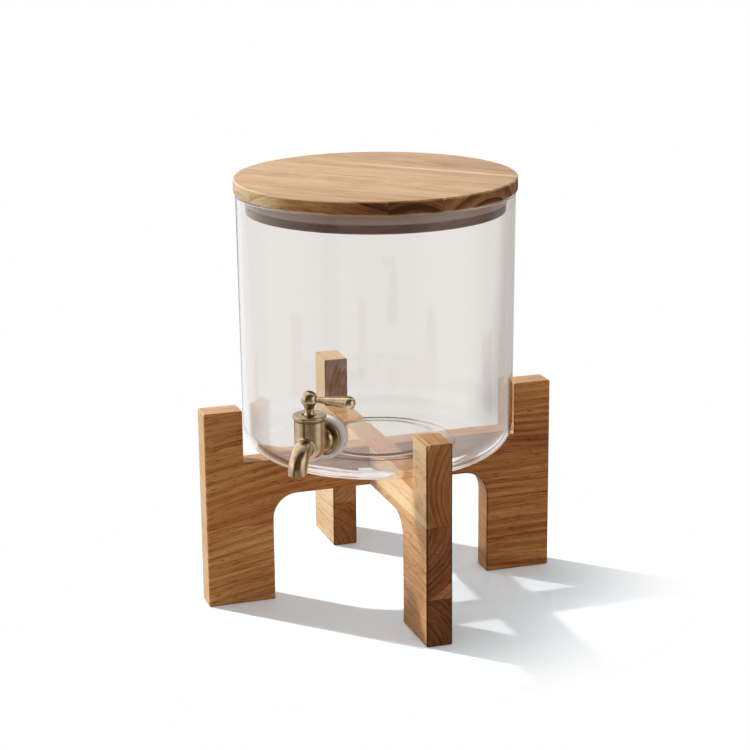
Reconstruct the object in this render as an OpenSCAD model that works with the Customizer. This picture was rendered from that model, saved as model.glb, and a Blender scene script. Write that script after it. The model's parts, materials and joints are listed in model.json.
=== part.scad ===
// Glass drink dispenser: a straight-sided jar with a wooden plug lid, a brass lever tap and a cross-lapped
// wooden stand. Millimetres, +Z up, origin on the floor under the jar's axis. The two stand rails run along
// X and Y, and the front is -Y.

/* [Jar] */
// Outer diameter of the jar at its rim
jar_d = 200; // [170:1:240]
// Height of the jar from its base to its rim
jar_h = 191; // [150:1:240]
// Thickness of the glass wall
jar_wall = 3.5; // [2.5:0.1:5]
// How much narrower the radius is at the base than at the rim
jar_draft = 1.4; // [0:0.1:3]
// Outer radius of the rounded corner round the base
jar_corner_r = 20; // [12:0.5:28]
// Thickness of the glass base
jar_base_t = 5.5; // [4:0.5:9]
// Diameter of the pushed-up centre of the base
punt_d = 114; // [60:1:130]
// How far the centre of the base is pushed up
punt_h = 2; // [1:0.1:5]
// Width of the sloping edge of the push-up
punt_edge = 16; // [6:0.5:24]

/* [Lid] */
// How far the lid stands out past the jar's rim
lid_overhang = 1.5; // [0.5:0.1:5]
// Thickness of the upper disc
lid_t = 10; // [7:0.5:18]
// Radius of the lid's rounded edges
lid_edge_r = 1.4; // [0.5:0.1:2.5]
// How far the plug disc reaches down into the jar
plug_depth = 14; // [11:0.5:24]
// Gap between the plug disc and the glass
plug_gap = 3.4; // [2.5:0.1:6]
// Height of the silicone seal
seal_h = 8; // [5:0.5:9]
// Depth of the groove that holds the seal
seal_groove = 2; // [1:0.1:3]
// Clearance between the seal's lip and the glass
seal_gap = 0.3; // [0.2:0.05:0.6]
// How far the seal's foot stands out past the plug disc
seal_foot = 0.4; // [0.2:0.1:1]
// Thickness of the seal's lip
seal_lip = 1.6; // [1:0.1:2]

/* [Stand] */
// Thickness of the two rails
rail_t = 19; // [14:0.5:26]
// Clear height under the rails
under_h = 80; // [50:1:140]
// Height of the rails between the arch and the seat
rail_h = 27; // [18:0.5:45]
// Height of the prongs above the seat
prong_h = 39; // [20:0.5:60]
// Width of a prong, along its rail
prong_w = 28.5; // [18:0.5:40]
// Width of a leg, along its rail
leg_w = 50; // [40:0.5:70]
// Gap between the jar's base and each prong
cradle_gap = 5.8; // [2:0.1:12]
// Radius of the arch's upper corners
arch_r = 18; // [8:0.5:40]
// Radius of the rails' rounded outer edges
rail_edge_r = 1.6; // [0.5:0.1:3]
// Gap all round the cross-lap joint
lap_gap = 0.1; // [0.05:0.05:0.5]

/* [Tap] */
// Turn of the jar and its tap from the front, seen from above
tap_turn = -39.1; // [-45:0.1:45]
// Height of the tap's centre above the jar's base
tap_rise = 36; // [32:0.5:70]
// Diameter of the threaded shank
shank_d = 13; // [11:0.5:16]
// Gap between the shank and what it passes through
shank_gap = 0.1; // [0.05:0.05:0.3]
// Gap between the shank and the hole in the glass
hole_gap = 0.8; // [0.5:0.1:1.5]
// How far the shank's end stands past the lock nut
shank_tail = 2.5; // [1:0.5:8]
// Diameter of the shoulder that presses the flange ring
shoulder_d = 17.2; // [15.5:0.1:20]
// Length of the shoulder
shoulder_l = 4; // [2:0.5:8]
// Diameter of the flange ring
flange_d = 24.8; // [22:0.2:30]
// Thickness of the flange ring
flange_t = 3; // [2:0.1:5]
// Radius of the flange ring's rounded front edge
flange_edge_r = 1; // [0.5:0.1:1.5]
// Diameter of the outer gasket where it meets the glass
gasket_d = 30.4; // [25:0.2:36]
// Thickness of the outer gasket on its axis
gasket_t = 5.2; // [4:0.1:8]
// Radius of the outer gasket's rounded front edge
gasket_edge_r = 1.3; // [0.8:0.1:2]
// Thickness of the inner gasket on its axis
inner_gasket_t = 2.5; // [2:0.1:5]
// Diameter of the inner gasket and its washer
inner_washer_d = 26; // [22:0.5:32]
// Thickness of the inner washer
inner_washer_t = 1.5; // [1:0.1:3]
// Width of the lock nut across its flats
nut_af = 19; // [16:0.5:24]
// Thickness of the lock nut
nut_t = 6; // [4:0.5:10]
// Play between pieces that are screwed down on each other
seat_gap = 0.05; // [0.02:0.01:0.2]

/* [Tap barrel] */
// Distance of the barrel's axis from the glass
barrel_reach = 30.2; // [28:0.2:44]
// Diameter of the barrel
barrel_d = 21; // [19:0.2:26]
// Height of the barrel's top above the tap's centre
barrel_top = 19.8; // [17:0.2:30]
// Height of the centre of the barrel's domed foot above the tap's centre
dome_rise = 1.4; // [1:0.1:4]
// Diameter of the valve chamber
chamber_d = 13.4; // [12.6:0.1:14]
// Depth of the chamber below the tap's centre
chamber_drop = 3.6; // [3:0.1:4]
// Diameter of the water way
way_d = 5.6; // [4.4:0.1:6]
// How far the spout reaches out from the barrel's axis
spout_reach = 22.1; // [20:0.1:32]
// Outer diameter of the spout
spout_d = 13.1; // [11:0.1:14]
// Radius of the spout's bend
spout_bend = 13.5; // [11:0.5:16]
// Height of the spout's axis above the tap's centre
spout_rise = 2.6; // [0:0.1:4]
// Length of the straight end of the spout
spout_tip = 1.3; // [0.5:0.1:8]
// Inner diameter of the spout
spout_bore = 9.6; // [7:0.1:10]

/* [Tap bonnet and valve] */
// Diameter of the bonnet cap
bonnet_d = 23.2; // [21:0.2:28]
// Thickness of the bonnet cap's flange
bonnet_t = 2.2; // [1.5:0.1:4]
// Radius of the rounded edges of the bonnet cap's flange
bonnet_edge_r = 0.6; // [0.3:0.1:0.7]
// Height of the stepped collar under the flange
collar_h = 1; // [0.5:0.1:2]
// How far the collar stands out past the barrel
collar_step = 0.5; // [0.2:0.1:0.8]
// Thickness of the washer under the bonnet cap
bonnet_washer_t = 0.8; // [0.5:0.1:1.5]
// How far that washer lies inside the barrel's edge
washer_inset = 0.5; // [0.2:0.1:1]
// Length of the bonnet cap's threaded spigot
spigot_l = 6.5; // [5:0.5:7.5]
// Diameter of the well round the stem in the bonnet cap
well_d = 10.6; // [9:0.1:12]
// Depth of that well
well_h = 1.2; // [0.5:0.1:1.8]
// Wall of the valve's sealing sleeve
sleeve_wall = 1.3; // [1:0.1:1.6]
// Running gap round the valve plug and its stem
valve_gap = 0.1; // [0.05:0.01:0.15]
// Diameter of the stem
stem_d = 5; // [4:0.1:6]
// Cord diameter of the O-ring on the valve plug
oring_d = 2; // [1.6:0.1:2.2]
// Depth of the groove that holds the O-ring
oring_groove = 0.7; // [0.4:0.1:0.9]

/* [Handle] */
// Gap between the handle hub and the bonnet cap
hub_gap = 0.3; // [0.2:0.05:0.6]
// Diameter of the hub's neck
neck_d = 6.8; // [6.4:0.1:8.4]
// How far the hub's foot stands out past its neck
hub_foot = 0.6; // [0.3:0.1:0.8]
// Height of the hub's tapered foot above the bonnet cap
hub_foot_h = 1; // [0.6:0.1:1.4]
// Height of the ball's centre above the bonnet cap
ball_rise = 10.7; // [10:0.1:16]
// Diameter of the ball
ball_d = 11.6; // [9.6:0.1:14]
// Height of the tapered neck under the ball
ball_taper = 1.4; // [0.8:0.1:2]
// Distance of the lever's far end from the stem's axis
lever_reach = 33.2; // [26:0.1:48]
// Diameter of the lever at the ball
lever_root_d = 3.6; // [3:0.1:5]
// Diameter of the lever near its far end
lever_end_d = 9.2; // [6:0.1:12]
// Diameter of the tenon that holds the lever in the ball
tenon_d = 2.4; // [2:0.1:2.8]
// Depth of the lever's seat in the ball
lever_seat = 0.8; // [0.3:0.1:1.2]
// Diameter of the grub screw in the neck
grub_d = 2.4; // [2:0.1:3]

/* [Hidden] */
$fn = 96;

acacia_pale = "#c99f6c";
acacia = "#a4713f";
clear_glass = "#dfe6e4";
silicone = "#e6e2dc";
aged_brass = "#a38a63";
rubber_black = "#2b2b2b";
// Overlap that lets a cutting tool pass a face
past = 1;
// Least wall left between two hollows in the tap
web = 0.5;
// Number of sides that a large curved seat is drawn with
fine = 400;
// Turn of one step on a rounded corner of an outline
arc_step = 15;

// Jar, seat and lid
seat_z = under_h + rail_h;
rim_z = seat_z + jar_h;
rim_r = jar_d / 2;
base_r = rim_r - jar_draft;
draft_angle = atan(jar_draft / (jar_h - jar_corner_r));
inner_corner_r = jar_corner_r - jar_wall;
lid_r = rim_r + lid_overhang;
plug_r = rim_r - jar_wall - plug_gap;
seal_r = rim_r - jar_wall - seal_gap - jar_draft * plug_depth / jar_h;

// Stand
half_span = base_r + cradle_gap + prong_w;
stand_h = seat_z + prong_h;

// Tap: distances from the jar's axis, with the glass taken at the tap's height
tap_z = seat_z + tap_rise;
glass_r = base_r + jar_draft * (tap_rise - jar_corner_r) / (jar_h - jar_corner_r);
glass_inner_r = glass_r - jar_wall;
hole_d = shank_d + 2 * hole_gap;
flange_back_r = glass_r + gasket_t;
flange_front_r = flange_back_r + flange_t;
barrel_r = glass_r + barrel_reach;
inner_washer_r = glass_inner_r - inner_gasket_t;
nut_r = inner_washer_r - inner_washer_t;
shank_end_r = nut_r - nut_t - shank_tail;

// Valve: heights above the tap's centre
bonnet_z = barrel_top + bonnet_washer_t;
bonnet_top = bonnet_z + collar_h + bonnet_t;
spigot_bottom = barrel_top - spigot_l;
plug_d = chamber_d - 2 * (sleeve_wall + valve_gap + seat_gap);
plug_bottom = seat_gap - chamber_drop;
plug_top = spigot_bottom - valve_gap;
oring_z = plug_top - oring_d;
sleeve_top = oring_z - oring_d / 2 - valve_gap;
ball_z = bonnet_top + ball_rise;
stem_top = ball_z - tenon_d / 2 - 3 * web;
grub_z = bonnet_top + hub_foot_h + grub_d / 2 + web;
lever_root = ball_d / 2 - lever_seat;
groove_r = plug_d / 2 - oring_groove;

// Points of an arc, from angle a to angle b round a centre
function arc(centre, r, a, b) =
    let (steps = max(2, ceil(abs(b - a) / arc_step)))
    [for (i = [0:steps]) centre + r * [cos(a + (b - a) * i / steps), sin(a + (b - a) * i / steps)]];

// Height of the base's push-up at a radius: flat in the middle, with a smooth slope at its edge
function punt_rise(r) =
    let (slope = (punt_d / 2 - r) / punt_edge)
    slope > 1 ? punt_h : slope > 0 ? punt_h * (1 - cos(180 * slope)) / 2 : 0;

// Radius of the jar's outside at a height above its base, on the straight wall
function wall_r(h) = base_r + jar_draft * (h - jar_corner_r) / (jar_h - jar_corner_r);

// A rectangle with rounded corners, centred in x, standing on the x axis
module round_rect(w, h, r) {
    translate([-w / 2, r]) square([w, h - 2 * r]);
    translate([r - w / 2, 0]) square([w - 2 * r, h]);
    for (x = [r - w / 2, w / 2 - r], y = [r, h - r]) translate([x, y]) circle(r);
}

// A disc with rounded edges, from z = 0 up
module round_disc(r, t, edge) {
    rotate_extrude()
        polygon(concat([[0, 0]], arc([r - edge, edge], edge, -90, 0),
                       arc([r - edge, t - edge], edge, 0, 90), [[0, t]]));
}

// Places a piece of the tap, drawn pointing along -Y at the jar's axis
module at_tap() {
    translate([0, 0, tap_z]) rotate([0, 0, tap_turn]) children();
}

// A cylinder along the tap's shank, between two distances from the jar's axis
module along_shank(d, from_r, to_r) {
    translate([0, -from_r, 0]) rotate([90, 0, 0]) cylinder(d = d, h = to_r - from_r);
}

// Stand

// Side outline of a rail: two legs with an arch between them and two prongs above the seat
module rail_outline() {
    arch_w = 2 * (half_span - leg_w);
    seat_w = 2 * (half_span - prong_w);
    difference() {
        round_rect(2 * half_span, stand_h, rail_edge_r);
        translate([-arch_w / 2, -past]) square([arch_w, under_h - arch_r + past]);
        translate([arch_r - arch_w / 2, -past]) square([arch_w - 2 * arch_r, under_h + past]);
        for (side = [-1, 1])
            translate([side * (arch_w / 2 - arch_r), under_h - arch_r]) circle(arch_r);
        translate([-seat_w / 2, seat_z]) square([seat_w, prong_h + past]);
    }
}

// One rail along X with its outer edges rounded and half of its depth cut away at the middle
module rail(notch_from, notch_to) {
    notch_w = rail_t + 2 * lap_gap;
    difference() {
        intersection() {
            translate([0, rail_t / 2, 0]) rotate([90, 0, 0]) linear_extrude(rail_t) rail_outline();
            rotate([90, 0, 90]) translate([0, 0, -half_span - past])
                linear_extrude(2 * (half_span + past)) round_rect(rail_t, stand_h, rail_edge_r);
            translate([0, -rail_t / 2, -past]) linear_extrude(stand_h + 2 * past)
                round_rect(2 * half_span, rail_t, rail_edge_r);
        }
        translate([-notch_w / 2, -notch_w / 2, notch_from])
            cube([notch_w, notch_w, notch_to - notch_from]);
    }
}

module rail_left_right() {
    color(acacia) rail(under_h + rail_h / 2, seat_z + past);
}

module rail_front_back() {
    color(acacia) rotate([0, 0, 90]) rail(under_h - past, under_h + rail_h / 2 + lap_gap);
}

// Jar

// Half section of the glass: outside from the centre of the base to the rim, then back down inside
module jar_section() {
    swell_steps = 8;
    floor_r = base_r - jar_corner_r;
    swell = [0, for (i = [0:swell_steps]) punt_d / 2 - punt_edge * (1 - i / swell_steps)];
    lip_r = jar_wall / 2;
    polygon(concat(
        [for (r = swell) [r, punt_rise(r)]],
        arc([floor_r, jar_corner_r], jar_corner_r, -90, -draft_angle),
        arc([rim_r - lip_r, jar_h - lip_r], lip_r, 0, 180),
        arc([floor_r, jar_base_t + inner_corner_r], inner_corner_r, -draft_angle, -90),
        [for (i = [0:swell_steps + 1])
            let (r = swell[swell_steps + 1 - i]) [r, jar_base_t + punt_rise(r)]]));
}

module glass_jar() {
    color(clear_glass, 0.3) difference() {
        translate([0, 0, seat_z]) rotate_extrude() jar_section();
        at_tap() along_shank(hole_d, glass_inner_r - jar_wall, glass_r + jar_wall);
    }
}

// Lid

module lid_disc() {
    color(acacia_pale) translate([0, 0, rim_z]) round_disc(lid_r, lid_t, lid_edge_r);
}

// Lower disc of the lid: the seal's groove is just under the upper disc
module lid_plug() {
    groove_r = plug_r - seal_groove;
    color(acacia) translate([0, 0, rim_z - plug_depth])
        rotate_extrude()
            polygon(concat([[0, 0]], arc([plug_r - lid_edge_r, lid_edge_r], lid_edge_r, -90, 0),
                           [[plug_r, plug_depth - seal_h], [groove_r, plug_depth - seal_h],
                            [groove_r, plug_depth], [0, plug_depth]]));
}

// Silicone ring in the plug's groove: its lip flares out to the glass at the top
module lid_seal() {
    inside_r = plug_r - seal_groove + seat_gap;
    foot_r = plug_r + seal_foot;
    lip_z = seal_h - seal_lip;
    color(silicone, 0.8) translate([0, 0, rim_z - seal_h])
        rotate_extrude()
            polygon([[inside_r, seat_gap], [foot_r, seat_gap], [foot_r + seal_foot, seal_lip],
                     [seal_r - seal_foot, lip_z - seal_lip / 2], [seal_r, lip_z],
                     [seal_r, lip_z + seal_lip / 2], [seal_r - seal_lip / 2, seal_h - seat_gap],
                     [inside_r, seal_h - seat_gap]]);
}

// Tap

// Centre line of the spout: level out of the barrel, then bent straight down
module spout(d, tip) {
    bend_y = spout_bend - spout_reach;
    translate([0, bend_y, spout_rise - spout_bend]) rotate([0, 0, 180]) rotate([0, -90, 0])
        rotate_extrude(angle = 90) translate([spout_bend, 0]) circle(d = d);
    rotate([90, 0, 0]) translate([0, spout_rise, 0]) cylinder(d = d, h = -bend_y);
    translate([0, -spout_reach, spout_rise - spout_bend - tip]) cylinder(d = d, h = tip);
}

// Barrel with a domed foot, its spout, shoulder and threaded shank, bored for the valve and the water way
module tap_body() {
    dome_r = barrel_d / 2;
    neck_to = barrel_r - chamber_d / 2 - web;
    color(aged_brass) at_tap() difference() {
        union() {
            translate([0, -barrel_r, 0]) {
                rotate_extrude()
                    polygon(concat(arc([0, dome_rise], dome_r, -90, 0),
                                   [[dome_r, barrel_top], [0, barrel_top]]));
                spout(spout_d, spout_tip);
            }
            along_shank(shank_d, shank_end_r, neck_to);
            along_shank(shoulder_d, flange_front_r, flange_front_r + shoulder_l);
        }
        translate([0, -barrel_r, -chamber_drop])
            cylinder(d = chamber_d, h = chamber_drop + barrel_top + past);
        along_shank(way_d, shank_end_r - past, barrel_r);
        translate([0, -barrel_r, 0]) spout(spout_bore, spout_tip + past);
    }
}

module tap_flange_ring() {
    color(aged_brass) at_tap() translate([0, -flange_back_r, 0]) rotate([90, 0, 0]) difference() {
        rotate_extrude()
            polygon(concat([[0, 0], [flange_d / 2, 0]],
                           arc([flange_d / 2 - flange_edge_r, flange_t - flange_edge_r],
                               flange_edge_r, 0, 90),
                           [[0, flange_t]]));
        translate([0, 0, -past]) cylinder(d = shank_d + 2 * shank_gap, h = flange_t + 2 * past);
    }
}

// Soft ring that follows the round of the glass on one side and is flat against the flange on the other
module tap_outer_gasket() {
    front_r = flange_back_r - seat_gap;
    edge_r = gasket_d / 2 - gasket_edge_r;
    color(silicone, 0.85) at_tap() difference() {
        translate([0, -front_r, 0]) rotate([-90, 0, 0]) rotate_extrude()
            polygon(concat([[0, 0]], arc([edge_r, gasket_edge_r], gasket_edge_r, -90, 0),
                           [[gasket_d / 2, 2 * gasket_t], [0, 2 * gasket_t]]));
        along_shank(shank_d + 2 * shank_gap, glass_inner_r, front_r + past);
        translate([0, 0, -tap_rise]) glass_envelope(seat_gap);
    }
}

// The jar's outside, grown by a gap, as a plain tapered solid
module glass_envelope(gap) {
    cylinder(r1 = wall_r(0) + gap, r2 = rim_r + gap, h = jar_h, $fn = fine);
}

// The jar's inside, shrunk by a gap, as a plain tapered solid
module glass_cavity(gap) {
    cylinder(r1 = wall_r(0) - jar_wall - gap, r2 = rim_r - jar_wall - gap, h = jar_h, $fn = fine);
}

module tap_inner_gasket() {
    color(silicone, 0.85) at_tap() intersection() {
        difference() {
            along_shank(inner_washer_d, inner_washer_r + seat_gap, glass_r);
            along_shank(shank_d + 2 * shank_gap, inner_washer_r - past, glass_r + past);
        }
        translate([0, 0, -tap_rise]) glass_cavity(seat_gap);
    }
}

module tap_inner_washer() {
    color(aged_brass) at_tap() difference() {
        along_shank(inner_washer_d, nut_r + seat_gap, inner_washer_r);
        along_shank(shank_d + 2 * shank_gap, nut_r - past, inner_washer_r + past);
    }
}

module tap_lock_nut() {
    color(aged_brass) at_tap() difference() {
        translate([0, nut_t - nut_r, 0]) rotate([90, 0, 0])
            cylinder(d = nut_af / cos(30), h = nut_t, $fn = 6);
        along_shank(shank_d + 2 * shank_gap, nut_r - nut_t - past, nut_r + past);
    }
}

// Valve

// Lining of the chamber: the plug turns in it, and its two windows face the shank and the spout
module valve_sleeve() {
    outer_d = chamber_d - 2 * seat_gap;
    color(silicone) at_tap() translate([0, -barrel_r, 0]) difference() {
        translate([0, 0, plug_bottom]) cylinder(d = outer_d, h = sleeve_top - plug_bottom);
        translate([0, 0, plug_bottom - past])
            cylinder(d = plug_d + 2 * valve_gap, h = sleeve_top - plug_bottom + 2 * past);
        rotate([90, 0, 0]) cylinder(d = way_d, h = chamber_d, center = true);
    }
}

// Plug and stem in one turned piece: its cross hole lies across the water way while the tap is shut
module valve_plug() {
    color(aged_brass) at_tap() translate([0, -barrel_r, 0]) difference() {
        union() {
            translate([0, 0, plug_bottom]) cylinder(d = plug_d, h = plug_top - plug_bottom);
            translate([0, 0, plug_top]) cylinder(d = stem_d, h = stem_top - plug_top);
        }
        rotate([0, 90, 0]) cylinder(d = way_d, h = chamber_d, center = true);
        translate([0, 0, oring_z - oring_d / 2]) difference() {
            cylinder(d = plug_d + past, h = oring_d);
            translate([0, 0, -past]) cylinder(r = groove_r, h = oring_d + 2 * past);
        }
    }
}

module valve_o_ring() {
    color(rubber_black) at_tap() translate([0, -barrel_r, oring_z])
        rotate_extrude() translate([groove_r + oring_d / 2, 0]) circle(d = oring_d - 2 * seat_gap);
}

module bonnet_washer() {
    color(rubber_black) at_tap() translate([0, -barrel_r, barrel_top]) difference() {
        cylinder(d = barrel_d - 2 * washer_inset, h = bonnet_washer_t);
        translate([0, 0, -past]) cylinder(d = chamber_d, h = bonnet_washer_t + 2 * past);
    }
}

// Cap that closes the barrel: a flange over a stepped collar, a spigot below and a well round the stem
module bonnet_cap() {
    edge_r = bonnet_d / 2 - bonnet_edge_r;
    collar_r = barrel_d / 2 + collar_step;
    spigot_r = chamber_d / 2 - shank_gap;
    flange_z = spigot_l + bonnet_washer_t + collar_h;
    top = flange_z + bonnet_t;
    color(aged_brass) at_tap() translate([0, -barrel_r, spigot_bottom]) difference() {
        rotate_extrude()
            polygon(concat([[0, 0], [spigot_r, 0], [spigot_r, flange_z - collar_h],
                            [collar_r, flange_z - collar_h], [collar_r, flange_z]],
                           arc([edge_r, flange_z + bonnet_edge_r], bonnet_edge_r, -90, 0),
                           arc([edge_r, top - bonnet_edge_r], bonnet_edge_r, 0, 90), [[0, top]]));
        translate([0, 0, -past]) cylinder(d = stem_d + 2 * valve_gap, h = top + 2 * past);
        translate([0, 0, top - well_h]) cylinder(d = well_d, h = well_h + past);
    }
}

// Handle

// Turned hub: a neck that stands in the bonnet cap's well, swelling into a ball
module handle_hub() {
    ball_r = ball_d / 2;
    neck_r = neck_d / 2;
    foot_r = neck_r + hub_foot;
    foot_z = bonnet_top - well_h + hub_gap;
    meet = -acos(neck_r / ball_r) + arc_step;
    color(aged_brass) at_tap() translate([0, -barrel_r, 0]) difference() {
        rotate_extrude()
            polygon(concat([[0, foot_z], [foot_r, foot_z], [foot_r, bonnet_top],
                            [neck_r, bonnet_top + hub_foot_h],
                            [neck_r, ball_z + ball_r * sin(meet) - ball_taper]],
                           arc([0, ball_z], ball_r, meet, 90)));
        translate([0, 0, foot_z - past]) cylinder(d = stem_d + 2 * seat_gap, h = stem_top - foot_z + past);
        translate([0, 0, ball_z]) rotate([0, 90, 0]) cylinder(d = tenon_d + 2 * seat_gap, h = ball_d);
        translate([lever_root, 0, ball_z]) rotate([0, 90, 0])
            cylinder(d = lever_root_d + 2 * seat_gap, h = ball_d);
        translate([0, 0, grub_z]) rotate([0, -90, 0]) cylinder(d = grub_d + 2 * seat_gap, h = ball_d);
    }
}

// Tapered lever with a rounded far end and a tenon into the ball, pointing along +X while the tap is shut
module handle_lever() {
    end_r = lever_end_d / 2;
    taper = atan((lever_end_d - lever_root_d) / 2 / (lever_reach - end_r - lever_root));
    color(aged_brass) at_tap() translate([0, -barrel_r, ball_z]) rotate([0, 90, 0]) rotate_extrude()
        polygon(concat([[0, seat_gap], [tenon_d / 2, seat_gap], [tenon_d / 2, lever_root],
                        [lever_root_d / 2, lever_root]],
                       arc([0, lever_reach - end_r], end_r, -taper, 90)));
}

module handle_grub_screw() {
    reach = neck_d / 2 - stem_d / 2 - 2 * seat_gap;
    color(aged_brass) at_tap() translate([-stem_d / 2 - seat_gap, -barrel_r, grub_z])
        rotate([0, -90, 0]) cylinder(d = grub_d, h = reach);
}

rail_left_right();
rail_front_back();
glass_jar();
lid_disc();
lid_plug();
lid_seal();
tap_body();
tap_flange_ring();
tap_outer_gasket();
tap_inner_gasket();
tap_inner_washer();
tap_lock_nut();
valve_sleeve();
bonnet_washer();
bonnet_cap();
valve_plug();
valve_o_ring();
handle_hub();
handle_lever();
handle_grub_screw();
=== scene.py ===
import json
import math
import bpy
from mathutils import Matrix, Vector


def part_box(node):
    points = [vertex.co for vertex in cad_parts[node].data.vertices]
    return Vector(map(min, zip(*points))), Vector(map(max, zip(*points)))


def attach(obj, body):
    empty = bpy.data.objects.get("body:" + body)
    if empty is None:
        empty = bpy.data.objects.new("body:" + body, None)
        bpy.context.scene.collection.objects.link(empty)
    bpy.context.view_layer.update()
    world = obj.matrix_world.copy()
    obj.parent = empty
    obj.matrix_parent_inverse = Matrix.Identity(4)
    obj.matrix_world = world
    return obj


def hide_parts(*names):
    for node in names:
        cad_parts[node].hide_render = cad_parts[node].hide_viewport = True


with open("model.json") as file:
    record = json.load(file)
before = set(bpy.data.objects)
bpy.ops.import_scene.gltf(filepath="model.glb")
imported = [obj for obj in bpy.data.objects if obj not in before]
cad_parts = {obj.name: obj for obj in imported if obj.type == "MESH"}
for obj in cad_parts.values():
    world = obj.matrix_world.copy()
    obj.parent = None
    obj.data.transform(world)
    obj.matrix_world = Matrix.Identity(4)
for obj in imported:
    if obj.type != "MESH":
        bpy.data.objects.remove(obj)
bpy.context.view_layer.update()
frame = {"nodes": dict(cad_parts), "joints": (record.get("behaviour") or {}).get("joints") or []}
print("frame loaded with", len(frame["nodes"]), "nodes")

mm = 0.001
quarter = math.pi / 2

# Where things are, read from the frame
jarLow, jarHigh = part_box("glass_jar")
lidLow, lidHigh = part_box("lid_disc")
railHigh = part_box("rail_left_right")[1]
flangeLow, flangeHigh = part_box("tap_flange_ring")
leverLow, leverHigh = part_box("handle_lever")
handleJoint = [joint for joint in frame["joints"] if joint["name"] == "handle_turn"][0]
barrelAt = Vector(handleJoint["pos_m"])
barrelReach = math.hypot(barrelAt.x, barrelAt.y) / mm  # from the jar's axis, in mm
tapTurn = math.atan2(barrelAt.x, -barrelAt.y)  # the tap is modelled towards -Y, then turned
tapHeight = (flangeLow.z + flangeHigh.z) / 2
seatHeight = jarLow.z


# Camera: a long lens, a little above the lid, at the photograph's angle
viewpoint = dict(azimuth=-18.284, elevation=15.222, roll=-0.511, distance=1.5174, targetHeight=0.170,
                 lens=99.9, sensor=36, shiftX=-0.00264, shiftY=-0.01725, farthest=50)


def makeCamera():
    azimuth, elevation, roll = (math.radians(viewpoint[key]) for key in ("azimuth", "elevation", "roll"))
    back = Vector((math.sin(azimuth) * math.cos(elevation), -math.cos(azimuth) * math.cos(elevation),
                   math.sin(elevation)))
    level = Vector((math.cos(azimuth), math.sin(azimuth), 0))
    above = back.cross(level)
    right = level * math.cos(roll) + above * math.sin(roll)
    up = back.cross(right)
    deselectAll()
    bpy.ops.object.camera_add()
    camera = bpy.context.object
    camera.name = "photoCamera"
    place = Vector((0, 0, viewpoint["targetHeight"])) + back * viewpoint["distance"]
    camera.matrix_world = Matrix.Translation(place) @ Matrix((right, up, back)).transposed().to_4x4()
    camera.data.lens = viewpoint["lens"]
    camera.data.sensor_width = viewpoint["sensor"]
    camera.data.shift_x = viewpoint["shiftX"]
    camera.data.shift_y = viewpoint["shiftY"]
    camera.data.clip_end = viewpoint["farthest"]
    bpy.context.scene.camera = camera


# Modelling helpers

def deselectAll():
    bpy.ops.object.select_all(action="DESELECT")


def pick(piece):
    deselectAll()
    piece.select_set(True)
    bpy.context.view_layer.objects.active = piece


def applyModifier(piece, kind, **settings):
    pick(piece)
    modifier = piece.modifiers.new(kind.lower(), kind)
    for key, value in settings.items():
        setattr(modifier, key, value)
    bpy.ops.object.modifier_apply(modifier=modifier.name)


def combine(piece, other, operation="DIFFERENCE"):
    # cuts the other solid away from a piece, adds it, or keeps what both share
    applyModifier(piece, "BOOLEAN", operation=operation, solver="EXACT", object=other)
    bpy.data.objects.remove(other)


def settle(piece, turn=(0, 0, 0), place=(0, 0, 0)):
    # turns and moves a piece, then puts its place into its mesh
    pick(piece)
    piece.rotation_euler = turn
    piece.location = place
    bpy.ops.object.transform_apply(location=True, rotation=True, scale=True)


def settleOnShank(piece, distance=0):
    # lays an upright piece along the shank, its foot at a distance in mm from the jar's axis
    settle(piece, turn=(quarter, 0, 0), place=(0, -distance * mm, 0))


def settleOnBarrel(piece, height=0, side=0, turn=(0, 0, 0)):
    # puts a piece on the barrel's axis, at a height in mm from the tap's centre
    settle(piece, turn=turn, place=(side * mm, -barrelReach * mm, height * mm))


def settleAtTap(piece):
    settle(piece, turn=(0, 0, tapTurn), place=(0, 0, tapHeight))


def smooth(piece, angle=35):
    pick(piece)
    bpy.ops.object.shade_smooth_by_angle(angle=math.radians(angle))


def smoothFlat(piece):
    # eased edges are smooth, and the flat faces between them stay flat to the light
    smooth(piece)
    applyModifier(piece, "WEIGHTED_NORMAL", mode="FACE_AREA", weight=100, keep_sharp=True)


def arcPoints(centre, radius, start, end, count):
    # points in mm on an arc, its angles in degrees
    angles = [math.radians(start + (end - start) * i / count) for i in range(count + 1)]
    return [(centre[0] + radius * math.cos(a), centre[1] + radius * math.sin(a)) for a in angles]


def selectEdges(piece, wanted):
    # leaves edit mode on, with only the edges selected whose two ends pass the test
    pick(piece)
    bpy.ops.object.mode_set(mode="EDIT")
    bpy.ops.mesh.select_mode(type="EDGE")
    bpy.ops.mesh.select_all(action="DESELECT")
    bpy.ops.object.mode_set(mode="OBJECT")
    for edge in piece.data.edges:
        edge.select = wanted(*[piece.data.vertices[i].co for i in edge.vertices])
    bpy.ops.object.mode_set(mode="EDIT")


def closeMesh(fillEnds=False):
    # in edit mode: joins points that meet, and turns all faces outwards
    bpy.ops.mesh.select_all(action="SELECT")
    bpy.ops.mesh.remove_doubles(threshold=0.002 * mm)
    if fillEnds:
        bpy.ops.mesh.fill_holes(sides=0)
        bpy.ops.mesh.select_all(action="SELECT")
    bpy.ops.mesh.normals_make_consistent(inside=False)
    bpy.ops.object.mode_set(mode="OBJECT")


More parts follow.
